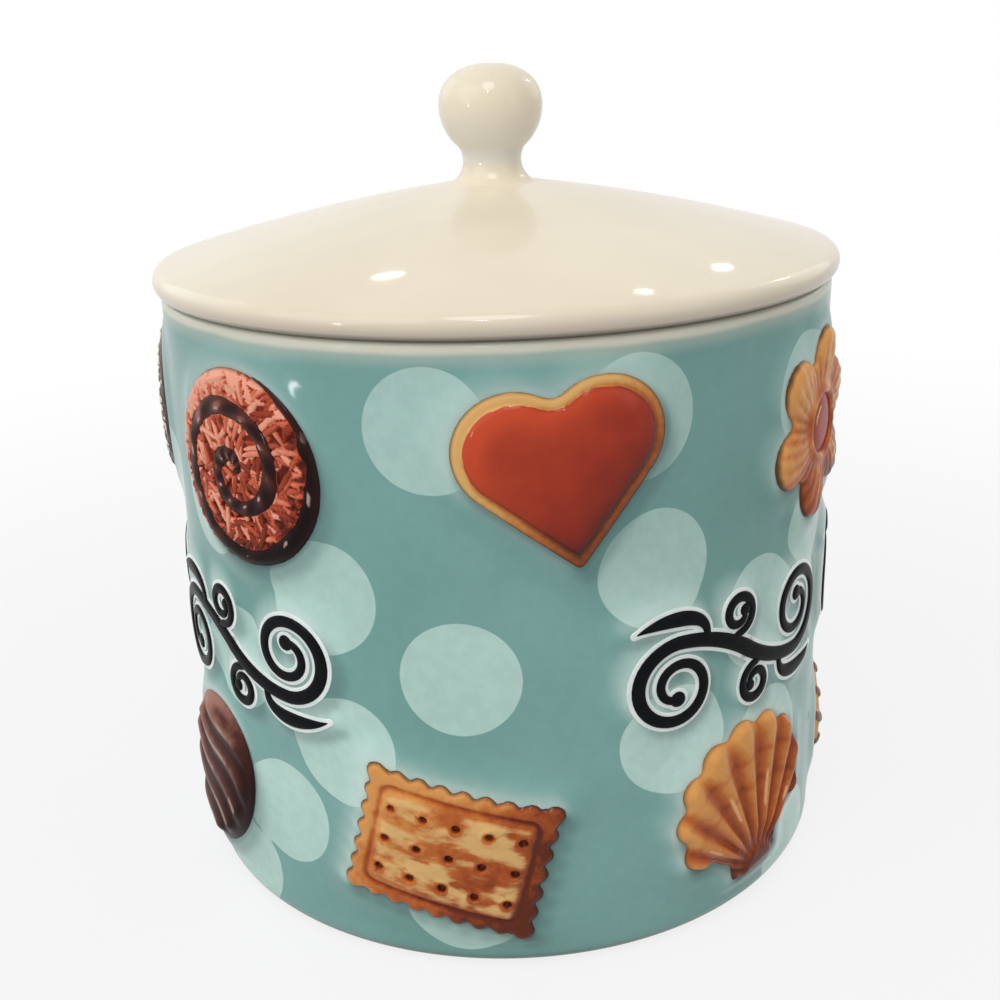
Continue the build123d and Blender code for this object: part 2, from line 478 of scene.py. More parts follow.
def curveThrough(start, startPull, end, endPull, steps):
    points = []
    for k in range(steps):
        t = k / steps
        a, b = 2 * t**3 - 3 * t**2 + 1, t**3 - 2 * t**2 + t
        c, d = -2 * t**3 + 3 * t**2, t**3 - t**2
        points.append([a * s + b * p + c * e + d * q for s, p, e, q in zip(start, startPull, end, endPull)])
    return points


def coilPoints(middle, outer, eye, start, turns):
    steps = round(44 * turns)
    points = []
    for k in range(steps + 1):
        share = k / steps
        turn = math.radians(start + 360 * turns * share)
        points.append(polar(outer + (eye - outer) * share, turn, middle))
    return points


def scrollStrokes():
    pitch = (360 - scrollLook["gapAngle"]) / scrollLook["count"]
    half = jarSize["radius"] * math.sin(math.radians(pitch / 2)) - scrollLook["sideGap"] / 2
    high = scrollLook["halfHeight"]
    coil = min(high * 0.72, half * 0.36)
    curl = coil * 0.46
    big = coilPoints((0.64 * half, 0.25 * high), coil, coil * 0.27, -90, 1.5)
    small = coilPoints((0.1 * half, -0.64 * high), curl, curl * 0.4, 100, 1.25)
    stem = curveThrough((0, 0), (half * 0.5, -high * 0.75), big[0], (half * 0.7, 0), 22) + big
    shootStart = (0.2 * half, -0.2 * high)
    leafStart, leafTip = (0.4 * half, -0.45 * high), (0.96 * half, -0.72 * high)
    shoot = curveThrough(shootStart, (-half * 0.1, 0), small[0], (-half * 0.2, -1), 10) + small
    leaf = curveThrough(leafStart, (-half * 0.06, -high * 1.55), leafTip, (half * 0.5, high * 0.55), 26)
    leaf.append(leafTip)
    stemShare, shootShare, leafShare = (np.linspace(0, 1, len(line)) for line in (stem, shoot, leaf))
    stemWidth = scrollLook["stem"] + (scrollLook["thin"] - scrollLook["stem"]) * stemShare**0.8
    shootWidth = 0.7 + 0.85 * np.sin(shootShare * math.pi) ** 0.7
    leafWidth = 0.15 + 0.9 * (1 - leafShare) + 1.7 * np.sin(leafShare**1.15 * math.pi) ** 1.3
    strokes, balls = [], []
    for side in (1, -1):
        for points, widths in ((stem, stemWidth), (shoot, shootWidth), (leaf, leafWidth)):
            strokes.append((np.array(points) * side, widths))
        balls.append((np.array(big[-1]) * side, scrollLook["ball"]))
        balls.append((np.array(small[-1]) * side, scrollLook["ball"] * 0.8))
    return strokes, balls, pitch


strokes, balls, scrollPitch = scrollStrokes()
scrollPlaces = {}
for k in range(scrollLook["count"]):
    first = scrollLook["gapMiddle"] + (scrollLook["gapAngle"] + scrollPitch) / 2
    scrollPlaces[f"scroll_{k + 1}"] = {"angle": first + k * scrollPitch, "height": scrollLook["height"]}


def scrollDistance(u, v):
    nearest = np.full(np.shape(u), 1e3)
    for points, widths in strokes:
        for (x, y), half in zip(points[::2], widths[::2]):
            nearest = np.minimum(nearest, disc(u, v, half, x, y))
    for (x, y), radius in balls:
        nearest = np.minimum(nearest, disc(u, v, radius, x, y))
    return nearest


# Jar: a turned pot whose glazed wall swells softly towards the relief

wallLook = {
    "columns": 480,
    "rowStep": 1.35,
    "biscuitSwell": 2.0,
    "scrollSwell": 1.6,
    "swellReach": 6.0,
    "wave": 0.045,
    "dotRadius": 16.2,
    "dotGap": 38,  # least distance between the middles of two dots
    # where the painted shadow and the painted highlight lie from each biscuit and each scroll
    "biscuitShade": (1.3, -3.6),  # degrees round and millimetres up from each biscuit
    "biscuitGlow": (-1.6, 2.6),
    "scrollShade": (-2.4, 2.8),  # millimetres right and up, from the shade to its scroll
    "scrollGlow": (2.2, -3.2),
    "teal": ((114, 159, 152), (129, 174, 168)),
    "dot": ((178, 211, 202), (192, 224, 215)),
    "mottle": (84, 124, 120),
    # painted highlight beside the upper left of the relief
    "glow": (218, 236, 229),
    # painted shadow beside the lower right of the relief
    "shade": (62, 94, 94),
    # painted shade in the crease along the relief's shaded side
    "creaseShade": (60, 88, 88),
    # painted shade: the wall is darker towards the top
    "upperShade": (92, 134, 130),
    # painted shade: a dark line along the foot, where the wall turns under
    "footShade": (50, 72, 70),
    "lip": (214, 212, 194),
}
farAway = 60.0
# polka dots as (angle in degrees, height), the rest of the wall is filled by wallDots
frontDots = (
    (-10.7, 157), (-7.3, 90), (-29, 110), (-27, 65), (-40.5, 38.5), (-8, 22.5), (-53.5, 129),
    (-49.5, 84), (-53, 14), (19.3, 158), (22.5, 117), (43.8, 95), (26, 66), (46, 54), (55.5, 153.5),
    (61, 115), (57, 10),
)


def wallDots():
    dots = list(frontDots)
    random = np.random.default_rng(11)
    rows, step, degree = 5, 27.0, 1.745  # a degree is this many millimetres of wall
    for row in range(rows):
        for k in range(8):
            angle = 78 + step * (k + 0.5 * (row % 2)) + random.uniform(-3, 3)
            height = 12 + 38.5 * row + random.uniform(-4, 4)
            gaps = [math.hypot((angle - lap - a) * degree, height - h) for lap in (0, 360) for a, h in dots]
            if min(gaps) > wallLook["dotGap"]:
                dots.append((angle, height))
    return dots


def biscuitOnWall(place, angle, height, shift=(0, 0)):
    # distance to a biscuit's outline, or to the same outline moved along the wall
    moved = {**place, "angle": place["angle"] + shift[0], "height": place["height"] + shift[1]}
    u, v, near = fromWall(moved, angle, height)
    return np.where(near, place["outline"](u, v), farAway)


def scrollOnWall(place, angle, height, shift=(0, 0)):
    u, v, near = fromWall(place, angle, height)
    close = near & (np.abs(u) < 58) & (np.abs(v) < 38)
    edge = np.full(np.shape(angle), farAway)
    edge[close] = scrollDistance(u[close] + shift[0], v[close] + shift[1])
    return edge


def wallFields(angle, height):
    # the swell of the wall, and the distances that its paint follows, with a painted shadow to the lower
    # right and a painted highlight to the upper left of each relief
    calm, relief, dotEdge = np.ones(np.shape(angle)), *np.full((2, *np.shape(angle)), farAway)
    shade, glow = np.zeros((2, *np.shape(angle)))
    for place in biscuits.values():
        edge = biscuitOnWall(place, angle, height)
        calm = calm * (1 - np.where(edge > 0, bell(edge, wallLook["swellReach"]), bell(edge, 3)))
        relief = np.minimum(relief, edge)
        # shade: a painted shadow where the outline, moved down and to the right, covers the wall
        below = biscuitOnWall(place, angle, height, wallLook["biscuitShade"])
        shade = np.maximum(shade, fade(below, -2.5, 2.5))
        # glow: a painted highlight where the outline, moved up and to the left, covers the wall, strongest
        # beside the edge
        above = biscuitOnWall(place, angle, height, wallLook["biscuitGlow"])
        beside = 0.22 + 0.78 * np.exp(-np.maximum(edge, 0) / 1.5)
        glow = np.maximum(glow, fade(above, -1.5, 4.5) * beside)
    swell = (1 - calm) * wallLook["biscuitSwell"]
    for place in scrollPlaces.values():
        edge = scrollOnWall(place, angle, height)
        relief = np.minimum(relief, edge)
        # a painted shadow and a painted highlight beside each scroll, as for the biscuits
        below = scrollOnWall(place, angle, height, wallLook["scrollShade"])
        shade = np.maximum(shade, 0.8 * fade(below, -0.5, 3.0))
        above = scrollOnWall(place, angle, height, wallLook["scrollGlow"])
        beside = 0.3 + 0.6 * np.exp(-np.maximum(edge - 1, 0) / 1.8)
        glow = np.maximum(glow, fade(above, -0.5, 4.0) * beside)
        lift = bell(np.maximum(edge, 0), wallLook["swellReach"] * 0.8) * wallLook["scrollSwell"]
        both = np.maximum(swell, lift) + 0.3 * np.minimum(swell, lift)
        close = fade(edge, 1.2, 4.0)
        swell = both * (1 - close) + np.minimum(both, wallLook["scrollSwell"]) * close
    wave = np.sin(5 * angle + height / 17) + np.sin(9 * angle - height / 12 + 1)
    wave = wave + np.sin(14 * angle + height / 8 + 2)
    for dotAngle, dotHeight in wallDots():
        turn = (angle - math.radians(dotAngle) + math.pi) % (2 * math.pi) - math.pi
        edge = disc(turn * jarSize["radius"], height, wallLook["dotRadius"], 0, dotHeight)
        dotEdge = np.minimum(dotEdge, edge)
    marks = {"dotEdge": dotEdge, "relief": relief, "shade": shade, "glow": glow}
    return swell + wave * wallLook["wave"], marks


def tealMaterial():
    paint = Paint("tealGlaze", roughness=0.35, coat=0.4, coatRoughness=0.1, specular=0.08)
    drift, look = paint.noise(75, detail=2), wallLook
    ground, pale = (paint.ramp(drift, list(zip((0.35, 0.65), look[part]))) for part in ("teal", "dot"))
    paint.colour = paint.mix(paint.span(paint.mark("dotEdge"), -0.16, 0.16, 1, 0), ground, pale)
    paint.cover(paint.span(paint.noise(3.5, detail=4), 0.3, 0.7, 0.0, 0.10), look["mottle"])
    # painted highlight: a pale glow beside the upper left of each relief
    paint.cover(paint.times(paint.mark("glow"), 0.62), look["glow"])
    # painted shadow beside the lower right of each relief
    shade = paint.mark("shade")
    paint.cover(paint.times(shade, 0.5), look["shade"])
    # painted shade in the crease where the wall meets the relief, on its shaded side
    paint.cover(paint.times(paint.span(paint.mark("relief"), -0.4, 1.4, 0.5, 0), shade), look["creaseShade"])
    height, top = paint.axes()["Z"], jarSize["height"] * mm
    level = paint.plus(height, paint.times(paint.noise(30, detail=1), 0.0015))
    # painted shade: the wall grows darker towards the top
    paint.cover(paint.span(level, top * 0.45, top * 0.9, 0, 0.3), look["upperShade"])
    # painted shade: a dark line along the foot, where the wall turns under
    paint.cover(paint.span(height, 0.0026, 0.0050, 0.75, 0), look["footShade"])
    paint.cover(paint.span(level, top - 0.0068, top - 0.0012, 0, 0.42), look["lip"])
    paint.cover(paint.span(level, top - 0.0029, top - 0.0012), look["lip"])
    paint.bump(paint.noise(24, detail=2), 0.05, 0.35)
    return paint.finish()


def innerMaterial():
    paint = Paint("whiteGlaze", roughness=0.35, coat=0.6, specular=0.1)
    paint.colour = paint.ramp(paint.noise(40), [(0.3, (232, 228, 214)), (0.7, (240, 237, 226))])
    paint.bump(paint.noise(20, detail=2), 0.05, 0.3)
    return paint.finish()


def footMaterial():
    paint = Paint("bareClay", roughness=0.85)
    grain = paint.noise(0.8, detail=6)
    paint.colour = paint.ramp(grain, [(0.3, (206, 192, 168)), (0.7, (226, 216, 196))])
    paint.bump(grain, 0.08, 0.6)
    return paint.finish()


def makeJar():
    s, radius = jarSize, jarSize["radius"]
    inner, recess = radius - s["wall"], s["footRecess"]
    lip, base, floor = s["lipRound"], s["baseRound"], s["floorRound"]
    recessRadius, wallTop, floorTop = radius - base - s["footRing"], s["height"] - lip, s["baseThickness"]
    outer = arcPoints((radius - base, base), base, -90, 0, 8)
    profile = [(0, recess)]
    addLines(profile, ((recessRadius, recess), 4), ((recessRadius, 0), 2))
    footStart = len(profile) - 1
    addLines(profile, (outer[0], 3))
    footEnd = len(profile) - 1
    profile += outer[1:]
    addLines(profile, ((radius, wallTop), round((wallTop - base) / wallLook["rowStep"])))
    profile += arcPoints((radius - lip, wallTop), lip, 0, 90, 6)[1:]
    lipTop = len(profile) - 1
    profile += arcPoints((inner + lip, wallTop), lip, 90, 180, 5)
    addLines(profile, ((inner, floorTop + floor), 18))
    profile += arcPoints((inner - floor, floorTop + floor), floor, 0, -90, 7)[1:]
    addLines(profile, ((0, floorTop), 5))
    points, faces = turnProfile(profile, wallLook["columns"])
    angle = np.arctan2(points[:, 0], -points[:, 1])
    reach, height = np.hypot(points[:, 0], points[:, 1]), points[:, 2]
    outside = (reach > radius - 0.01) & (height >= base)
    swell, marks = wallFields(angle, height)
    calmEnds = smoothStep(height, base, base + 5) * fade(height, wallTop - 5, wallTop)
    points[:, :2] *= (1 + np.where(outside, swell * calmEnds / radius, 0))[:, None]
    rows = np.arange(len(faces)) // wallLook["columns"]
    faceMaterial = np.where((rows >= footStart) & (rows < lipTop), 0, 1)
    faceMaterial[(rows >= footStart) & (rows < footEnd)] = 2
    materials = [tealMaterial(), innerMaterial(), footMaterial()]
    makePiece("jar", points, faces, materials, "jar", "teal_glaze", "jar_body", marks, faceMaterial)


makeJar()
print("jar made")


# Lid, knob and seal, turned from the same sizes as the frame

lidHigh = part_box("lid")[1] / mm
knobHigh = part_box("lid_knob")[1] / mm
lidLook = {
    "radius": lidHigh.x,
    "crown": lidHigh.z,
    "edgeHeight": 7.5,
    "bulge": 1.5,
    "thickness": 5.2,
    "seatRound": 3.5,
    "flangeGap": 2.7,
    "flangeThickness": 4.8,
    "flangeDepth": 14.0,
    "grooveDepth": 1.6,
    "grooveHeight": 5.0,
    "grooveDrop": 5.0,
    "columns": 320,
    "ivory": ((225, 212, 187), (235, 223, 199)),
    "speck": (190, 168, 136),
    # painted shade and painted shadow for the lid's outer edge, where it meets the jar
    "band": (188, 172, 164),
    "seam": (58, 54, 50),
}
knobLook = {
    "foot": 13.0,
    "neck": 8.7,
    "neckHeight": 6.0,
    "ball": knobHigh.x,
    "ballHeight": 22.0,
    "top": knobHigh.z,
    "startAngle": 50.0,
    "flatter": 0.6,
    "squarer": 2.25,  # 2 for a plain round top
    "skirt": 2.6,  # glaze that gathers where the knob meets the lid
    "root": 1.2,  # how far the knob reaches into the lid
    # painted reflection: a cooler grey laid on the lower part of the knob
    "lowKnobReflection": (226, 227, 226),
}
sealLook = {"backGap": 0.1, "face": 0.4, "mouthGap": 0.3, "lip": 1.2}


def ivoryMaterial():
    paint = Paint("ivoryGlaze", roughness=0.35, coat=0.55, coatRoughness=0.06, specular=0.1)
    paint.colour = paint.ramp(paint.noise(60), list(zip((0.3, 0.7), lidLook["ivory"])))
    paint.cover(paint.span(paint.noise(1.6, detail=2), 0.74, 0.8, 0, 0.18), lidLook["speck"])
    x, y, z = paint.axes()
    seat, crown = jarSize["height"] * mm, lidLook["crown"] * mm
    # painted reflection: the lower part of the knob turns a cooler grey
    low = paint.span(z, crown + 0.003, crown + 0.009, 0, 0.7)
    paint.cover(paint.times(low, paint.span(z, crown + 0.010, crown + 0.026, 1, 0)), knobLook["lowKnobReflection"])
    # painted shade round the outer edge, where the lid meets the jar: a soft darker band, and a dark line of
    # painted shadow in the gap
    away = paint.plus(paint.times(x, x), paint.times(y, y))
    rim = (lidLook["radius"] - lidLook["seatRound"]) * mm
    outer = paint.span(away, (rim - 0.0008) ** 2, (rim + 0.0004) ** 2)
    paint.cover(paint.times(outer, paint.span(z, seat + 0.0005, seat + 0.0080, 0.5, 0)), lidLook["band"])
    paint.cover(paint.times(outer, paint.span(z, seat + 0.0002, seat + 0.0022, 0.8, 0)), lidLook["seam"])
    paint.bump(paint.noise(38, detail=2), 0.12, 0.35)
    return paint.finish()


def parabola(first, middle, last, steps):
    # points on the parabola through three points, without the first one
    points = []
    for k in range(1, steps + 1):
        x = first[0] + (last[0] - first[0]) * k / steps
        a = (x - middle[0]) * (x - last[0]) / ((first[0] - middle[0]) * (first[0] - last[0]))
        b = (x - first[0]) * (x - last[0]) / ((middle[0] - first[0]) * (middle[0] - last[0]))
        c = (x - first[0]) * (x - middle[0]) / ((last[0] - first[0]) * (last[0] - middle[0]))
        points.append((x, a * first[1] + b * middle[1] + c * last[1]))
    return points


def arcThrough(start, middle, end, steps):
    # points on the circle through three points, without the first one
    (ax, ay), (bx, by), (cx, cy) = start, middle, end
    d = 2 * (ax * (by - cy) + bx * (cy - ay) + cx * (ay - by))
    a, b, c = ax * ax + ay * ay, bx * bx + by * by, cx * cx + cy * cy
    x = (a * (by - cy) + b * (cy - ay) + c * (ay - by)) / d
    y = (a * (cx - bx) + b * (ax - cx) + c * (bx - ax)) / d
    turns = [math.atan2(py - y, px - x) for px, py in (start, middle, end)]
    for k in (1, 2):
        while abs(turns[k] - turns[k - 1]) > math.pi:
            turns[k] += math.copysign(2 * math.pi, turns[k - 1] - turns[k])
    radius = math.hypot(ax - x, ay - y)
    sweep = [turns[0] + (turns[2] - turns[0]) * k / steps for k in range(1, steps + 1)]
    return [polar(radius, t, (x, y)) for t in sweep]


def makeLid(ivory):
    s, seat = lidLook, jarSize["height"]
    edge, halfEdge = s["radius"] - s["seatRound"], s["edgeHeight"] / 2
    edgeTop = seat + s["edgeHeight"]
    foot, crown = knobLook["foot"], s["crown"]
    flange = jarSize["radius"] - jarSize["wall"] - s["flangeGap"]
    flangeInner, flangeBottom = flange - s["flangeThickness"], seat - s["flangeDepth"]
    grooveTop = seat - s["grooveDrop"]
    grooveBottom, groove = grooveTop - s["grooveHeight"], flange - s["grooveDepth"]
    underEdge = edgeTop - s["thickness"] + (edge - flangeInner) * (crown - seat) / s["radius"] / 2
    underCrown = crown - s["thickness"]
    flangeRound = s["flangeThickness"] / 4
    slope = math.atan((crown - edgeTop + 4 * s["bulge"]) / (edge - foot))
    edgeRound = (halfEdge**2 + s["seatRound"] ** 2) / 2 / s["seatRound"]
    edgeMiddle = (s["radius"] - edgeRound, seat + halfEdge)
    turnedEdge = arcPoints(edgeMiddle, edgeRound, 90 - math.degrees(slope), -86, 18)
    middle = ((turnedEdge[0][0] + foot) / 2, (turnedEdge[0][1] + crown) / 2 + s["bulge"])
    profile = [(0, crown)]
    addLines(profile, ((foot, crown), 3))
    profile += parabola(profile[-1], middle, turnedEdge[0], 44)
    profile += turnedEdge[1:]
    corners = ((flange, seat), (flange, grooveTop), (groove, grooveTop), (groove, grooveBottom))
    corners += ((flange, grooveBottom), (flange, flangeBottom + flangeRound))
    addLines(profile, *((corner, 2) for corner in corners))
    profile += arcPoints((flange - flangeRound, flangeBottom + flangeRound), flangeRound, 0, -90, 4)[1:]
    profile += arcPoints((flangeInner + flangeRound, flangeBottom + flangeRound), flangeRound, -90, -180, 4)
    addLines(profile, ((flangeInner, underEdge), 3))
    underMiddle = (flangeInner / 2, (underEdge + underCrown) / 2 + s["bulge"])
    profile += parabola(profile[-1], underMiddle, (0, underCrown), 22)
    makePiece("lidDome", *turnProfile(profile, s["columns"]), [ivory], "lid", "ivory_glaze", "lid")


def makeKnob(ivory):
    s, crown = knobLook, lidLook["crown"]
    middle, top, bend = crown + s["ballHeight"], s["top"] - s["flatter"], 2 / s["squarer"]
    profile = [(0, top)]
    for turn in range(85, -1, -5):
        t = math.radians(turn)
        profile.append((s["ball"] * math.cos(t) ** bend, middle + (top - middle) * math.sin(t) ** bend))
    profile += arcPoints((0, middle), s["ball"], 0, -s["startAngle"], 16)[1:]
    profile += arcThrough(profile[-1], (s["neck"], crown + s["neckHeight"]), (s["foot"], crown), 16)
    drop = lidLook["bulge"] * 0.9 * 0.45
    root = crown - s["root"]
    profile += [(s["foot"] + s["skirt"], crown - drop), (s["foot"], root), (0, root)]
    makePiece("knob", *turnProfile(profile, 160), [ivory], "lid", "ivory_glaze", "lid_knob")


def siliconeMaterial():
    paint = Paint("greySilicone", roughness=0.55)
    grain = paint.noise(2.0, detail=4)
    paint.colour = paint.ramp(grain, [(0.3, (186, 186, 180)), (0.7, (204, 204, 198))])
    paint.bump(grain, 0.03, 0.4)
    return paint.finish()


def makeSeal():
    s, lip = lidLook, sealLook["lip"]
    flange = jarSize["radius"] - jarSize["wall"] - s["flangeGap"]
    inside, face = flange - s["grooveDepth"] + sealLook["backGap"], flange + sealLook["face"]
    reach = flange + s["flangeGap"] - sealLook["mouthGap"]
    top = jarSize["height"] - s["grooveDrop"]
    bottom = top - s["grooveHeight"]
    profile = [(inside, bottom), (face, bottom)]
    for start in (bottom, top - 2 * lip):
        profile += [(face, start + 0.1), (reach - 0.2, start + lip / 2 - 0.1), (reach, start + lip / 2 + 0.1)]
        profile += [(reach, start + lip - 0.2), (reach - 0.25, start + lip), (face, start + 2 * lip - 0.1)]
    profile += [(face, top), (inside, top)]
    rubber = siliconeMaterial()
    makePiece("seal", *turnProfile(profile, 256, closed=True), [rubber], "lid", "seal_silicone", "lid_seal")


ivory = ivoryMaterial()
makeLid(ivory)
makeKnob(ivory)
makeSeal()
print("lid, knob and seal made")


# Biscuits: each is a round grid over its outline, raised by its own shape and wrapped on the wall

biscuitMesh = {
    "edgeRings": 13,
    "edgeShare": 0.12,
    "highest": 5.1,
    "sunk": -0.8,  # where the hidden back lies, from the wall's surface
}


def dome(depth, reach, power=2.2):
    share = np.clip(depth / reach, 0, 1)
    return (1 - (1 - share) ** power) ** (1 / power)


def outlineReach(outline, turns, highest):
    # how far each spoke runs before it leaves the outline
    steps = np.linspace(1.0, highest, 200)
    inside = outline(np.outer(steps, np.cos(turns)), np.outer(steps, np.sin(turns))) < 0
    last = len(steps) - 1 - np.argmax(inside[::-1], axis=0)
    low, high = steps[last], steps[np.minimum(last + 1, len(steps) - 1)]
    for _ in range(18):
        middle = (low + high) / 2
        within = outline(middle * np.cos(turns), middle * np.sin(turns)) < 0
        low, high = np.where(within, middle, low), np.where(within, high, middle)
    return low


def depthInside(u, v, edgeU, edgeV, chunk=4000):
    # the true distance to a closed outline given by its points
    nextU, nextV = np.roll(edgeU, -1) - edgeU, np.roll(edgeV, -1) - edgeV
    length = nextU**2 + nextV**2
    depths = []
    for k in range(0, len(u), chunk):
        du, dv = u[k:k + chunk, None] - edgeU, v[k:k + chunk, None] - edgeV
        share = np.clip((du * nextU + dv * nextV) / length, 0, 1)
        depths.append(np.hypot(du - share * nextU, dv - share * nextV).min(axis=1))
    return np.concatenate(depths)


def paintedLight(place, u, v, depth, reach):
    # lighter to the upper left and darker to the lower right, as the glaze is painted
    across, up = turned(u, v, -math.radians(place["tilt"]))
    slant = (up * 0.75 - across * 0.65) / (biscuitWidth / 2)
    return 0.55 + 0.2 * slant + 0.42 * slant * fade(depth, 0, reach)


def makeBiscuit(name, shape, look, slot, spokes, rings, hole=0.0):
    place, title, sunk = biscuits[name], name.replace("_", ""), biscuitMesh["sunk"]
    turns = np.arange(spokes) * 2 * math.pi / spokes
    reach = outlineReach(place["outline"], turns, biscuitWidth * 0.62)
    bend = np.linspace(0, math.pi / 2, biscuitMesh["edgeRings"])
    shares = 1 - biscuitMesh["edgeShare"] * (1 - np.cos(bend))
    if hole:
        rim = 1 - shares[::-1]
        shares = np.concatenate([shares, np.linspace(shares[-1], rim[0], rings)[1:], rim[1:]])
    else:
        shares = np.concatenate([shares, np.linspace(shares[-1], 0, rings)[1:-1]])
    radii = hole + np.outer(shares, reach - hole)
    u, v = (radii * np.cos(turns)).ravel(), (radii * np.sin(turns)).ravel()
    if not hole:
        u, v = np.append(u, 0.0), np.append(v, 0.0)
    depth = depthInside(u, v, u[:spokes], v[:spokes])
    depth[:spokes] = 0
    if hole:
        depth = np.minimum(depth, np.hypot(u, v) - hole)
        depth[-spokes:] = 0
    rise, marks = shape(u, v, depth, paintedLight(place, u, v, depth, look.get("lightReach", 9.0)))
    marks = {"topping": np.zeros(len(u)), "pale": np.zeros(len(u)), **marks, "rim": depth}
    top, last = len(u), (len(radii) - 1) * spokes
    parts = [toWall(place, u, v, np.minimum(rise, biscuitMesh["highest"]))]
    parts.append(toWall(place, u[:spokes], v[:spokes], sunk))
    faces = []
    for row in range(len(radii) - 1):
        faces += ringBand(row * spokes, (row + 1) * spokes, spokes)
    faces += ringBand(top, 0, spokes)
    if hole:
        parts.append(toWall(place, u[-spokes:], v[-spokes:], sunk))
        faces += ringBand(last, top + spokes, spokes) + ringBand(top + spokes, top, spokes)
    else:
        parts.append(toWall(place, np.zeros(1), np.zeros(1), sunk))
        faces += ringFan(last, top - 1, spokes) + ringFan(top, top + spokes, spokes, back=True)
    points = np.concatenate(parts)
    marks = {mark: np.append(values, np.zeros(len(points) - top)) for mark, values in marks.items()}
    makePiece(title, points, faces, [biscuitMaterial(title, look)], "jar", slot, name, marks)


def biscuitMaterial(title, look):
    # dough, topping and pale paint by the marks on the mesh, under a clear glaze
    gloss = look.get("gloss", 0.24)
    paint = Paint(title + "Paint", roughness=0.36, coat=gloss, coatRoughness=0.08, specular=gloss / 3)
    grain, tone = paint.noise(look.get("grainSize", 2.2), detail=5, roughness=0.6), paint.mark("tone")
    paint.colour = paint.ramp(paint.swayed(tone, grain, look.get("grain", 0.5)), look["dough"])
    if "topping" in look:
        topping = paint.ramp(paint.swayed(tone, paint.noise(9, detail=2), 0.25), look["topping"])
        paint.colour = paint.mix(paint.span(paint.mark("topping"), 0.4, 0.6), paint.colour, topping)
    if "pale" in look:
        streak = paint.noise(look.get("streakSize", 2.5), 6, 0.7, look.get("streak", (1, 1, 1)))
        pale = paint.swayed(paint.mark("pale"), streak, look.get("ragged", 0.0))
        paint.cover(paint.span(pale, 0.25, 0.95, 0, look.get("paleShare", 1.0)), look["pale"])
    paint.cover(paint.span(paint.mark("rim"), 0.25, 1.5, 0.9, 0), look.get("line", rimLine))
    paint.bump(grain, 0.10, look.get("bump", 0.4))
    return paint.finish()


def lumpNoise(u, v, size, seed, shift=70):
    return layeredNoise(u + shift, v + shift, size, seed)


def shreds(u, v, count, length, thick, seed):
    # overlapping pointed strips, each one on top of the last: rise, a number for each strip, and its edge
    random = np.random.default_rng(seed)
    rise, label, edge = np.zeros(len(u)), np.full(len(u), 0.2), np.ones(len(u))
    for k in range(count):
        reach, turn = biscuitWidth / 2 * math.sqrt(random.random()), random.uniform(0, 2 * math.pi)
        x, y = polar(reach, turn)
        lean, half = turn + random.normal(0, 0.75), length * random.uniform(0.55, 1.2) / 2
        along, across = turned(u - x, v - y, lean)
        across = across + 0.03 * random.uniform(-1, 1) * along**2
        near = np.abs(across) / (thick / 2 * arch(along / half) + 1e-6)
        over = (near < 1) & (np.abs(along) < half)
        rise = np.where(over, 0.5 * k / count + 0.5 * arch(near), rise)
        label = np.where(over, random.random(), label)
        edge = np.where(over, near, edge)
    return rise, label, edge


def glintArc(u, v, radius, start, end):
    # a curved stroke of highlight round the middle, from one angle to the other in degrees
    middle, half = math.radians((start + end) / 2), math.radians(abs(end - start) / 2)
    off = (np.arctan2(v, u) - middle + math.pi) % (2 * math.pi) - math.pi
    thick = 0.55 * arch(off / half)
    return fade(np.abs(np.hypot(u, v) - radius), thick * 0.6, thick + 1e-6)


def spotEdge(u, v, places, radius):
    # 0 in the middle of the nearest round spot and 1 at its edge
    edge = np.full(len(u), 9.0)
    for x, y in places:
        edge = np.minimum(edge, np.hypot(u - x, v - y) / radius)
    return edge


def sunflower(count, reach, seed, jitter):
    # places spread evenly over a disc
    random = np.random.default_rng(seed)
    places = []
    for k in range(count):
        x, y = polar(reach * math.sqrt((k + 0.5) / count), k * math.radians(137.5))
        places.append((x + random.normal(0, jitter), y + random.normal(0, jitter)))
    return places


def sugarGrains(u, v, depth, count, seed):
    random = np.random.default_rng(seed)
    edge = np.full(len(u), 9.0)
    for _ in range(count):
        far, turn = biscuitWidth / 2 * math.sqrt(random.random()), random.uniform(0, 2 * math.pi)
        x, y = polar(far, turn)
        a, b = turned(u - x, v - y, random.uniform(0, math.pi))
        edge = np.minimum(edge, np.maximum(np.abs(a), np.abs(b) * 1.3) / random.uniform(0.55, 0.95))
    return fade(edge, 0.8, 1.15) * smoothStep(depth, 1.5, 2.5)


# Each shape gives its rise in millimetres and the marks that its paint reads

goldenDough = [(0.1, (104, 50, 22)), (0.35, (160, 84, 36)), (0.6, (196, 126, 60)), (0.85, (222, 172, 104))]
orangeDough = [(0.1, (96, 38, 16)), (0.35, (158, 70, 26)), (0.6, (192, 104, 42)), (0.9, (222, 156, 84))]
cocoaDough = [(0.1, (38, 20, 16)), (0.4, (78, 50, 42)), (0.65, (106, 74, 62)), (0.9, (158, 124, 108))]
darkChocolate = [(0.15, (20, 6, 6)), (0.48, (44, 17, 14)), (0.72, (82, 42, 34)), (0.95, (156, 108, 94))]
redGlaze = [(0.05, (46, 10, 8)), (0.28, (104, 26, 14)), (0.55, (156, 46, 24)), (0.85, (196, 70, 36))]
rimLine = (44, 22, 16)

pinwheelLook = {
    "pitch": 13.5,  # from one chocolate turn to the next
    "chocolateShare": 0.36,
    "dough": [(0.0, (84, 26, 16)), (0.3, (150, 56, 34)), (0.58, (204, 100, 70)), (0.85, (232, 160, 134))],
    "topping": darkChocolate,
    "pale": (188, 160, 150),
    "line": (40, 18, 16),
    "grain": 0.25,
    "grainSize": 1.4,
    "gloss": 0.12,
}


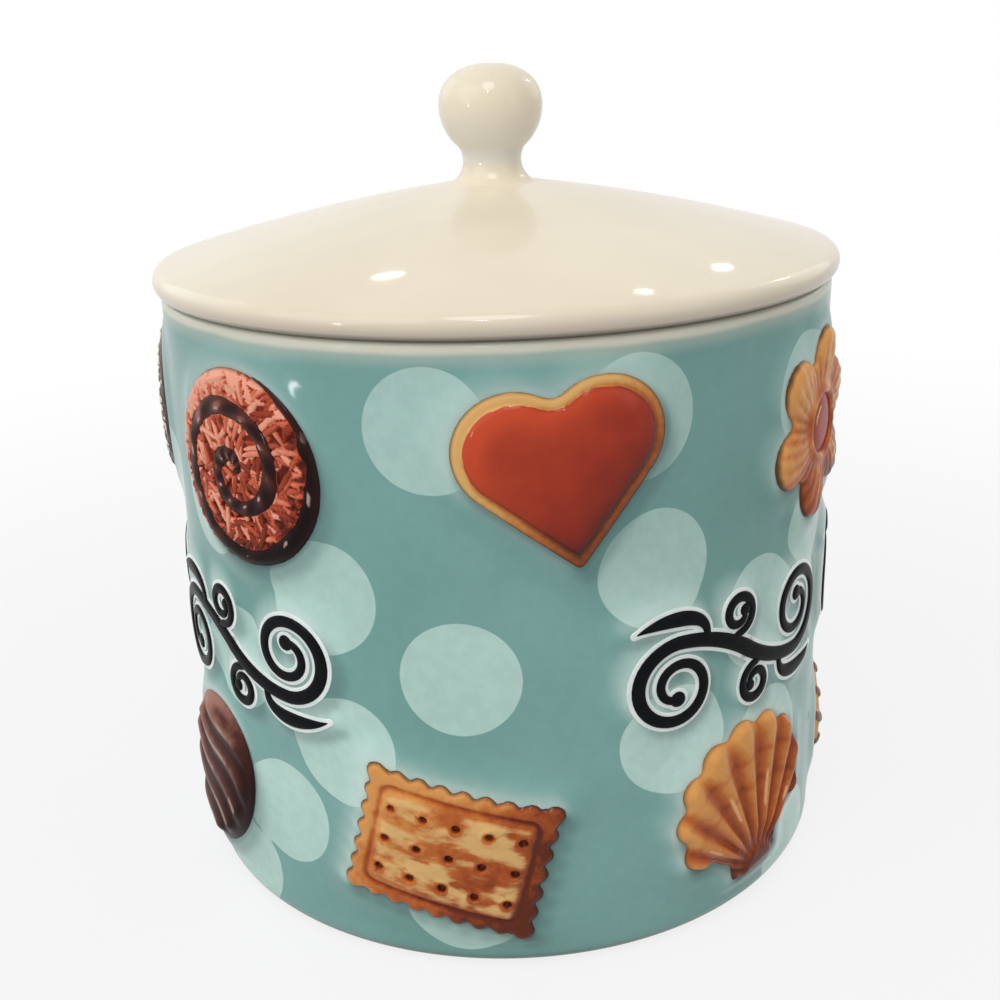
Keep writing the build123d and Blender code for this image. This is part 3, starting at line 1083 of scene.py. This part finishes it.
def pinwheelShape(u, v, depth, light):
    share, reach, turn = pinwheelLook["chocolateShare"], np.hypot(u, v), np.arctan2(v, u)
    wander = 0.9 * (lumpNoise(u, v, 8, 3, 60) - 0.5) * 2
    phase = ((reach + wander) / pinwheelLook["pitch"] - turn / (2 * math.pi)) % 1.0
    middle = np.abs(phase - 0.5) * 2  # 0 in the middle of the dough, 1 in the middle of the chocolate
    chocolate = smoothStep(middle, 1 - share - 0.05, 1 - share + 0.05)
    bead = 0.5 + 0.5 * np.sin(turn * 9 + reach * 0.6)
    strip, label, stripEdge = shreds(u, v, 460, 8.0, 1.9, 5)
    bank = np.clip((middle - 1 + share) / share, 0, 1)
    rise = 3.2 * dome(depth, 5.0) + chocolate * (0.35 + arch(1 - bank) * (0.75 + 0.25 * bead))
    rise = rise + (1 - chocolate) * (0.25 + 0.95 * strip) * np.clip(depth / 2, 0, 1)
    tone = light + (1 - chocolate) * ((label - 0.5) * 0.75 - 0.3 * smoothStep(stripEdge, 0.55, 1.0) + 0.06)
    tone = tone + chocolate * (bead - 0.55) * 0.6 * bank
    outer = smoothStep(bank, 0.35, 0.55) * fade(bank, 0.75, 0.95) * (phase > 0.5)
    glint = chocolate * smoothStep(bead, 0.82, 0.97) * outer
    glint = glint * smoothStep(lumpNoise(u, v, 7, 75, 30), 0.42, 0.52)
    return rise, {"tone": tone, "topping": chocolate, "pale": 0.8 * glint}


heartLook = {
    "border": 3.4,
    "dough": goldenDough,
    "topping": redGlaze,
    "grain": 0.45,
    "bump": 0.15,
    "lightReach": 12,  # how far in from the edge the painted light is strong
}


def heartShape(u, v, depth, light):
    inner = depth - heartLook["border"] - 0.8 * (lumpNoise(u, v, 10, 21, 40) - 0.5)
    icing = smoothStep(inner, 0.0, 0.3)
    rise = 2.5 * dome(depth, 2.4) + 2.45 * dome(inner, 10.5, 1.8)
    rise = rise + 0.15 * lumpNoise(u, v, 3, 8, 40) * (1 - icing)
    tone = light - 0.25 * fade(np.abs(inner), 0, 1.2) - 0.42 * icing * smoothStep(u - v, 10, 40)
    return rise, {"tone": tone, "topping": icing}


flowerLook = {"jamRadius": 8.5, "dough": orangeDough, "topping": redGlaze, "pale": (226, 178, 110)}


def flowerShape(u, v, depth, light):
    reach, turn = np.hypot(u, v), np.arctan2(v, u)
    petal = np.cos(3 * (turn - math.pi / 2)) ** 2
    inner = flowerLook["jamRadius"] - reach
    jam = smoothStep(inner, -0.2, 0.2)
    ripple = np.cos(turn * 36 + reach * 0.4) * 0.12 * smoothStep(reach, 11, 15)
    rise = 3.1 * dome(depth, 4.5) + petal * smoothStep(reach, 9, 18) + ripple
    rise = rise + 0.8 * bell(inner + 1.4, 1.5) - jam + jam * 1.4 * dome(inner, 6.0, 2.0)
    tone = light + 0.25 * (petal - 0.5) * (1 - jam) + ripple * 0.8 * (1 - jam)
    pale = smoothStep(petal * lumpNoise(u, v, 5, 9, 50), 0.38, 0.7) * (1 - jam) * smoothStep(depth, 2, 5)
    return rise, {"tone": tone, "topping": jam, "pale": np.maximum(pale * 0.7, glintArc(u, v, 5.6, 115, 185))}


chipLook = {
    "chips": 13,
    "chipRadius": 3.3,
    "dough": goldenDough,
    "topping": darkChocolate,
    "pale": (206, 172, 158),
    "gloss": 0.14,
}


def chipShape(u, v, depth, light):
    places = sunflower(chipLook["chips"], 20.5, 4, 1.0)
    edge = spotEdge(u, v, places, chipLook["chipRadius"])
    lumps = lumpNoise(u, v, 9, 31)
    crack = fade(np.abs(lumpNoise(u, v, 11, 37, 20) - 0.5), 0, 0.03) * smoothStep(depth, 2, 7)
    crack = crack * smoothStep(layeredNoise(u + 90, v + 30, 9, 39), 0.48, 0.6)
    rise = 3.1 * dome(depth, 6) + 1.2 * lumps * smoothStep(depth, 1, 6) - 0.5 * crack + arch(edge)
    chip = fade(edge, 0.94, 1.02)
    tone = light + 0.5 * (lumps - 0.5) - 0.3 * crack + chip * (0.3 * arch(edge) - 0.3)
    glint = fade(spotEdge(u + 1.0, v - 1.1, places, 0.75), 0.6, 1.0)
    return rise, {"tone": tone, "topping": chip, "pale": 0.9 * glint}


starLook = {"grains": 150, "dough": goldenDough, "pale": (238, 226, 200)}


def starShape(u, v, depth, light):
    sugar = sugarGrains(u, v, depth, starLook["grains"], 17)
    lumps = lumpNoise(u, v, 7, 41)
    rise = 3.3 * dome(depth, 3.2) + 0.8 * smoothStep(depth, 2, 10) + 0.35 * lumps + 0.45 * sugar
    return rise, {"tone": light + 0.3 * (lumps - 0.5), "pale": sugar}


checkerLook = {"squares": 4, "dough": goldenDough, "topping": cocoaDough}


def checkerShape(u, v, depth, light):
    cell = biscuitWidth * 0.84 / checkerLook["squares"]
    across, up = u / cell + checkerLook["squares"] / 2, v / cell + checkerLook["squares"] / 2
    seam = np.minimum(np.abs(across - np.round(across)), np.abs(up - np.round(up))) * cell
    lumps = lumpNoise(u, v, 3.5, 43)
    rise = 3.3 * dome(depth, 2.2) + 0.8 * dome(seam, 2.4) + 0.35 * lumps
    tone = light + 0.35 * (lumps - 0.5) - 0.3 * fade(seam, 0, 0.9)
    return rise, {"tone": tone, "topping": (np.floor(across) + np.floor(up)) % 2}


ringLook = {"grains": 260, "dough": cocoaDough, "pale": (232, 222, 204), "line": (30, 16, 14)}


def ringShape(u, v, depth, light):
    sugar = sugarGrains(u, v, depth, ringLook["grains"], 19)
    lumps = lumpNoise(u, v, 6, 47)
    rise = 4.1 * dome(depth, 8.5, 2.0) + 0.4 * lumps + 0.45 * sugar
    return rise, {"tone": light + 0.35 * (lumps - 0.5), "pale": sugar}


butterLook = {
    "frame": 5.4,
    "holeRadius": 1.25,
    "dough": [(0.1, (98, 36, 12)), (0.35, (162, 72, 26)), (0.6, (192, 104, 42)), (0.9, (220, 152, 82))],
    "pale": (224, 184, 120),
    "paleShare": 0.85,
    "ragged": 1.3,
    "streakSize": 3.4,
    "streak": (0.6, 0.6, 1.4),
    "grain": 0.55,
    "grainSize": 2.6,
}


def butterShape(u, v, depth, light):
    pitch = biscuitWidth / 9
    places = [((a - 2) * pitch * 1.5, (b - 1) * pitch * 1.6) for a in range(5) for b in range(3)]
    edge = spotEdge(u, v, places, butterLook["holeRadius"])
    hole, lip = fade(edge, 0.55, 1.15), bell(edge - 1.7, 0.6)
    panel = block(u, v, 4 * pitch - butterLook["frame"] + 3, 3 * pitch - butterLook["frame"] + 3, 3.0)
    groove = bell(panel, 0.75)
    blister = layeredNoise(u * 0.75 + 70, v * 1.5 + 70, 7, 51)
    rise = 3.2 * dome(depth, 2.3) + 0.75 * smoothStep(-panel, 0, 4)
    rise = rise + 0.9 * (blister - 0.5) * smoothStep(-panel, 0, 3)
    rise = rise - 0.6 * groove - 1.5 * hole + 0.3 * lip
    tone = light - 0.35 * groove - 0.6 * hole + 0.5 * (blister - 0.5)
    streaks = layeredNoise(u * 0.5 + 70, v * 1.8 + 70, 5, 55, 4)
    patch = np.clip((0.5 * blister + 0.5 * streaks - 0.35) / 0.26, 0, 1) * smoothStep(-panel, 0.2, 3.0)
    return rise, {"tone": tone, "pale": 0.95 * patch * fade(2.0 - edge, 0, 0.9)}


shellLook = {
    "ribs": 9,
    "dough": orangeDough,
    "pale": (236, 176, 120),
    "grain": 0.32,
    "grainSize": 1.8,
    "bump": 0.25,
}


def shellShape(u, v, depth, light):
    root = -(biscuitWidth / 2 - biscuitWidth / 9) - 3.0
    reach, turn = np.hypot(u, v - root), np.arctan2(u, v - root)
    wave = turn / math.radians(66) * shellLook["ribs"] / 2 + 0.5
    flute = (0.5 - 0.5 * np.cos(2 * math.pi * wave)) ** 0.8 * smoothStep(reach, 5, 17)
    rise = 2.9 * dome(depth, 4.5) + 1.75 * flute * smoothStep(depth, 0.2, 3) + 1.1 * fade(reach, 5.5, 8.5)
    growth = bell(reach - 30, 1.2) + bell(reach - 39, 1.2)
    gleam = bell(wave % 1.0 - 0.36, 0.09) * smoothStep(reach, 18, 22) * fade(reach, 30, 35)
    gleam = gleam * (np.floor(wave) % 2) * smoothStep(lumpNoise(u, v, 6, 53, 30), 0.4, 0.55)
    return rise, {"tone": light + 0.42 * (flute - 0.55) - 0.12 * growth, "pale": gleam}


fingerLook = {"stripes": 6, "dough": goldenDough, "topping": darkChocolate, "gloss": 0.14, "lightReach": 7}


def fingerShape(u, v, depth, light):
    step = biscuitWidth / fingerLook["stripes"]
    phase = ((u + 0.55 * v + 1.2 * np.sin(v / 3.0)) / step + 0.5) % 1.0 - 0.5
    line = fade(np.abs(phase) * step, 1.3, 1.6) * smoothStep(depth, 0.6, 1.2)
    bank = arch(phase * step / 1.6)
    lumps = lumpNoise(u, v, 5, 57)
    rise = 3.7 * dome(depth, 10.5, 2.0) + 0.45 * lumps + 0.85 * line * bank
    return rise, {"tone": light + 0.35 * (lumps - 0.5) + 0.25 * line * bank, "topping": line}


jamLook = {"jamRadius": 9.5, "dough": goldenDough, "topping": redGlaze, "pale": (232, 176, 150)}


def jamShape(u, v, depth, light):
    reach, turn = np.hypot(u, v), np.arctan2(v, u)
    inner = jamLook["jamRadius"] + (0.7 * np.sin(turn * 5) + 0.4 * np.sin(turn * 9 + 1)) - reach
    jam = smoothStep(inner, -0.2, 0.2)
    spokes = np.abs(np.sin(turn * 6.5 + 1.5 * lumpNoise(u, v, 9, 61)))
    crack = fade(spokes, 0.02, 0.16) * smoothStep(reach, 15, 21) * smoothStep(depth, 0.5, 2)
    lumps = lumpNoise(u, v, 4, 63)
    rise = 4.3 * dome(depth, 9, 2.0) - 1.2 * smoothStep(inner, -3, 0.5)
    rise = rise + jam * dome(inner, 6, 2.0) - 0.5 * crack
    rise = rise + 0.3 * lumps * (1 - jam)
    tone = light - 0.3 * crack + 0.3 * (lumps - 0.5) * (1 - jam)
    return rise, {"tone": tone, "topping": jam, "pale": glintArc(u, v, 6.4, 110, 170)}


waffleLook = {"cells": 6, "dough": goldenDough}


def waffleShape(u, v, depth, light):
    cell = biscuitWidth * 0.84 / waffleLook["cells"]
    well = np.maximum(np.abs((u / cell) % 1.0 - 0.5), np.abs((v / cell) % 1.0 - 0.5)) * 2
    ridge, lumps = smoothStep(well, 0.5, 0.82), lumpNoise(u, v, 4, 67)
    rise = 2.7 * dome(depth, 1.8) + 1.6 * ridge * dome(depth, 2.5) + 0.25 * lumps
    return rise, {"tone": light + 0.42 * (ridge - 0.6) + 0.3 * (lumps - 0.5)}


dippedLook = {
    "holes": ((-14, -6), (-9, -14), (-3, -8), (1, -16), (7, -11), (13, -15), (-15, -15), (-6, -20), (5, -20)),
    "dough": goldenDough,
    "topping": darkChocolate,
    "gloss": 0.14,
}


def dippedShape(u, v, depth, light):
    bank = v * 0.8 + u * 0.45 + 1.1 * np.sin(u / 4.5) + 0.5 * np.sin(u / 2.1) - 1.0
    dip = smoothStep(bank, -0.15, 0.15)
    hole = fade(spotEdge(u, v, dippedLook["holes"], 1.1), 0.5, 1.15) * (1 - dip)
    lumps = lumpNoise(u, v, 5, 71)
    rise = 3.5 * dome(depth, 3.5) + 0.3 * lumps * (1 - dip) - 1.2 * hole
    rise = rise + dip * (0.25 + 0.9 * dome(np.maximum(bank, 0), 3, 2.0))
    return rise, {"tone": light + 0.35 * (lumps - 0.5) * (1 - dip) - 0.5 * hole, "topping": dip}


cocoaLook = {
    "waves": 5,
    "dough": darkChocolate,
    "pale": (170, 138, 124),
    "line": (28, 14, 12),
    "grain": 0.25,
    "grainSize": 3.0,
    "gloss": 0.12,
    "bump": 0.15,
}


def cocoaShape(u, v, depth, light):
    swing = u / biscuitWidth * 2 * math.pi * cocoaLook["waves"] / 2 + 0.9 * np.sin(v / 6.5)
    wave, band = 0.5 + 0.5 * np.cos(swing * 2), smoothStep(depth, 2.5, 5.5)
    rise = 3.4 * dome(depth, 6, 2.0) + 1.3 * wave**0.8 * band
    gleam = smoothStep(wave, 0.86, 0.97) * band * smoothStep(lumpNoise(u, v, 7, 73, 30), 0.45, 0.58)
    return rise, {"tone": light + 0.12 + 0.3 * (wave - 0.5) * band, "pale": gleam * 0.8}


designs = (  # name, shape, look, slot, spokes and rings of the grid, and the radius of a hole
    ("pinwheel_biscuit", pinwheelShape, pinwheelLook, "cocoa_dough", 320, 84),
    ("heart_biscuit", heartShape, heartLook, "red_icing", 256, 60),
    ("flower_biscuit", flowerShape, flowerLook, "golden_dough", 288, 64),
    ("chip_biscuit", chipShape, chipLook, "golden_dough", 256, 64),
    ("star_biscuit", starShape, starLook, "golden_dough", 300, 76),
    ("checker_biscuit", checkerShape, checkerLook, "cocoa_dough", 288, 68),
    ("butter_biscuit", butterShape, butterLook, "golden_dough", 320, 76),
    ("shell_biscuit", shellShape, shellLook, "golden_dough", 320, 68),
    ("finger_biscuit", fingerShape, fingerLook, "golden_dough", 256, 60),
    ("jam_biscuit", jamShape, jamLook, "red_icing", 256, 60),
    ("waffle_biscuit", waffleShape, waffleLook, "golden_dough", 288, 68),
    ("dipped_biscuit", dippedShape, dippedLook, "cocoa_dough", 256, 60),
    ("cocoa_biscuit", cocoaShape, cocoaLook, "cocoa_dough", 256, 56),
    ("sugar_ring", ringShape, ringLook, "cocoa_dough", 320, 48, biscuitWidth / 7),
)
for design in designs:
    makeBiscuit(*design)
print("biscuits made")


# Scrolls: round black strokes on a pale outline that stands just off the wall

scrollSunk = -0.4


def strokeSolid(place, points, halves, base, rise, sections=8):
    # a closed strip with a rounded top, returns its points and faces
    points, halves = np.asarray(points, float), np.asarray(halves)
    along = np.gradient(points, axis=0)
    along /= np.linalg.norm(along, axis=1)[:, None]
    side = np.stack([-along[:, 1], along[:, 0]], axis=1)
    rows = []
    for offset in -np.cos(np.linspace(0, math.pi, sections + 1)):
        flat = points + side * (halves * offset)[:, None]
        lift = base + rise * max(1 - offset**4, 0) ** 0.5 * np.minimum(halves / 1.2, 1)
        rows.append(toWall(place, flat[:, 0], flat[:, 1], lift))
    for offset in (1, -1):
        flat = points + side * (halves * offset)[:, None]
        rows.append(toWall(place, flat[:, 0], flat[:, 1], scrollSunk))
    count, length = len(rows), len(points)
    faces = []
    for start in range(0, (length - 1) * count, count):
        for k in range(count):
            j = (k + 1) % count
            faces.append((start + k, start + count + k, start + count + j, start + j))
    faces.append(list(range(count)))
    faces.append([(length - 1) * count + k for k in reversed(range(count))])
    return np.stack(rows, axis=1).reshape(-1, 3), faces


def ballSolid(place, middle, radius, base, rise, spokes=28, rings=7):
    turns = np.arange(spokes) * 2 * math.pi / spokes
    rows = []
    for k in range(rings):
        share = math.cos(k / rings * math.pi / 2)
        u, v = middle[0] + radius * share * np.cos(turns), middle[1] + radius * share * np.sin(turns)
        if k == 0:
            rows.append(toWall(place, u, v, scrollSunk))
        rows.append(toWall(place, u, v, base + rise * (1 - share**4) ** 0.5))
    tips = toWall(place, np.full(2, middle[0]), np.full(2, middle[1]), np.array([base + rise, scrollSunk]))
    faces = []
    for row in range(len(rows) - 1):
        faces += ringBand(row * spokes, (row + 1) * spokes, spokes)
    tip = len(rows) * spokes
    faces += ringFan(tip - spokes, tip, spokes) + ringFan(0, tip + 1, spokes, back=True)
    return np.concatenate(rows + [tips]), faces


def blackMaterial():
    paint = Paint("blackGlaze", roughness=0.32, coat=0.08, specular=0.03)
    paint.colour = paint.ramp(paint.noise(2.4), [(0.3, (6, 7, 8)), (0.75, (15, 18, 21))])
    paint.bump(paint.noise(3.0, detail=2), 0.08, 0.4)
    return paint.finish()


def outlineMaterial():
    paint = Paint("paleOutline", roughness=0.3, coat=0.8)
    paint.colour = paint.ramp(paint.noise(6), [(0.3, (216, 230, 226)), (0.65, (238, 243, 240))])
    paint.bump(paint.noise(2.5, detail=2), 0.05, 0.3)
    return paint.finish()


def makeScroll(name, place, black, outline):
    s, base, outlineThick = scrollLook, wallLook["scrollSwell"], 0.12
    points, faces, colours, start = [], [], [], 0
    for thicker, rise, level, colour in (
        (s["outline"], outlineThick, base + s["outlineRise"] - outlineThick, 1),
        (0.0, s["rise"], base + s["outlineRise"] * 0.5, 0),
    ):
        solids = [strokeSolid(place, line, halves + thicker, level, rise) for line, halves in strokes]
        rounds = list(balls)
        if thicker:
            rounds += [(line[k], halves[k]) for line, halves in strokes for k in (0, -1)]
        for middle, radius in rounds:
            solids.append(ballSolid(place, middle, radius + thicker, level, rise * 1.05))
        for solid, solidFaces in solids:
            points.append(solid)
            faces += [[start + k for k in face] for face in solidFaces]
            colours += [colour] * len(solidFaces)
            start += len(solid)
    title, points = name.replace("_", ""), np.concatenate(points)
    makePiece(title, points, faces, [black, outline], "jar", "black_glaze", name, None, colours)


black, outline = blackMaterial(), outlineMaterial()
for name, place in scrollPlaces.items():
    makeScroll(name, place, black, outline)
print("scrolls made")


# Floor, lamps and sky

studio = {
    "world": 0.42,
    "floor": 0.62,
    "floorSize": 4.0,
    "nearFloor": 0.82,  # share of plain white that is seen in the floor beside the jar
    "lamps": (  # name, place, size, watts and colour
        ("keyLamp", (-1.2, -0.8, 1.15), (1.7, 1.7), 9.8, (0.97, 0.99, 1.0)),
        ("fillLamp", (1.3, -0.9, 0.7), (0.7, 1.2), 1.7, (1, 1, 1)),
        ("topLamp", (-0.06, -0.73, 1.54), (0.6, 0.9), 7.0, (1, 1, 1)),
        ("leftBackLamp", (-1.35, 0.95, 0.9), (1.3, 1.3), 3.2, (0.82, 0.92, 1.0)),
        ("rightBackLamp", (1.35, 0.95, 0.9), (1.3, 1.3), 3.2, (1.0, 0.98, 0.95)),
    ),
    "sparkles": (  # place, size, turn and watts for each square metre of the lamps that glint on the glaze
        ((-0.243, 1.12, 1.071), (0.075, 0.018), 156, 34),
        ((0.473, 1.191, 0.891), (0.065, 0.018), -108, 34),
        ((0.324, 1.063, 1.106), (0.05, 0.014), -142, 30),
        ((-0.12, -1.12, 1.2), (0.07, 0.13), 0, 120),
        ((-1.13, -0.99, 0.32), (0.06, 0.16), 12, 110),
        ((0.93, 0.86, 1.0), (0.05, 0.13), 0, 80),
    ),
}


def seenRays(tree):
    # 1 for the rays that show the background: seen straight, in a gloss or through glass
    rays = addNode(tree, "ShaderNodeLightPath").outputs
    total = rays["Is Camera Ray"]
    for kind in ("Is Glossy Ray", "Is Transmission Ray"):
        total = addNode(tree, "ShaderNodeMath", {0: total, 1: rays[kind]}, operation="MAXIMUM").outputs[0]
    return total


def makeFloor():
    mesh, size = bpy.data.meshes.new("floor"), studio["floorSize"]
    corners = [(-size, -size, 0), (size, -size, 0), (size, size, 0), (-size, size, 0)]
    mesh.from_pydata(corners, [], [(0, 1, 2, 3)])
    paint = Paint("paleFloor", roughness=0.9, specular=0.1)
    paint.colour = (studio["floor"],) * 3 + (1,)
    white = paint.add("ShaderNodeEmission")
    away = paint.add("ShaderNodeVectorMath", {0: paint.place}, operation="LENGTH").outputs["Value"]
    share = paint.times(seenRays(paint.tree), paint.span(away, 0.14, 0.75, studio["nearFloor"]))
    blend = paint.add("ShaderNodeMixShader", {0: share, 1: paint.shader.outputs[0], 2: white.outputs[0]})
    feed(paint.tree, paint.tree.nodes["Material Output"], {"Surface": blend.outputs[0]})
    mesh.materials.append(paint.finish())
    addObject("floor", mesh)


def makeLamp(name, place, size, power, colour=(1, 1, 1), aim=(0, 0, 0.1), turn=0.0):
    data = bpy.data.lights.new(name, "AREA")
    data.shape = "ELLIPSE"
    data.size, data.size_y = size
    data.energy = power
    data.color = colour
    lamp = addObject(name, data)
    lamp.location = place
    facing = (Vector(place) - Vector(aim)).to_track_quat("Z", "Y").to_matrix().to_4x4()
    lamp.rotation_euler = (facing @ rotation(turn, "Z")).to_euler()


def makeWorld():
    world = bpy.data.worlds.new("world")
    world.use_nodes = True
    tree, white = world.node_tree, (1, 1, 1, 1)
    sky = tree.nodes["Background"]
    feed(tree, sky, {"Color": white, "Strength": studio["world"]})
    seen = addNode(tree, "ShaderNodeBackground", {"Color": white})
    blend = addNode(tree, "ShaderNodeMixShader", {0: seenRays(tree), 1: sky.outputs[0], 2: seen.outputs[0]})
    feed(tree, tree.nodes["World Output"], {"Surface": blend.outputs[0]})
    bpy.context.scene.world = world


makeFloor()
makeWorld()
for lamp in studio["lamps"]:
    makeLamp(*lamp)
for number, (place, size, turn, watts) in enumerate(studio["sparkles"]):
    makeLamp(f"sparkleLamp{number + 1}", place, size, watts * size[0] * size[1], aim=(0, 0, 0.2), turn=turn)
bpy.context.scene.view_settings.view_transform = "Standard"
print("floor and lamps made")
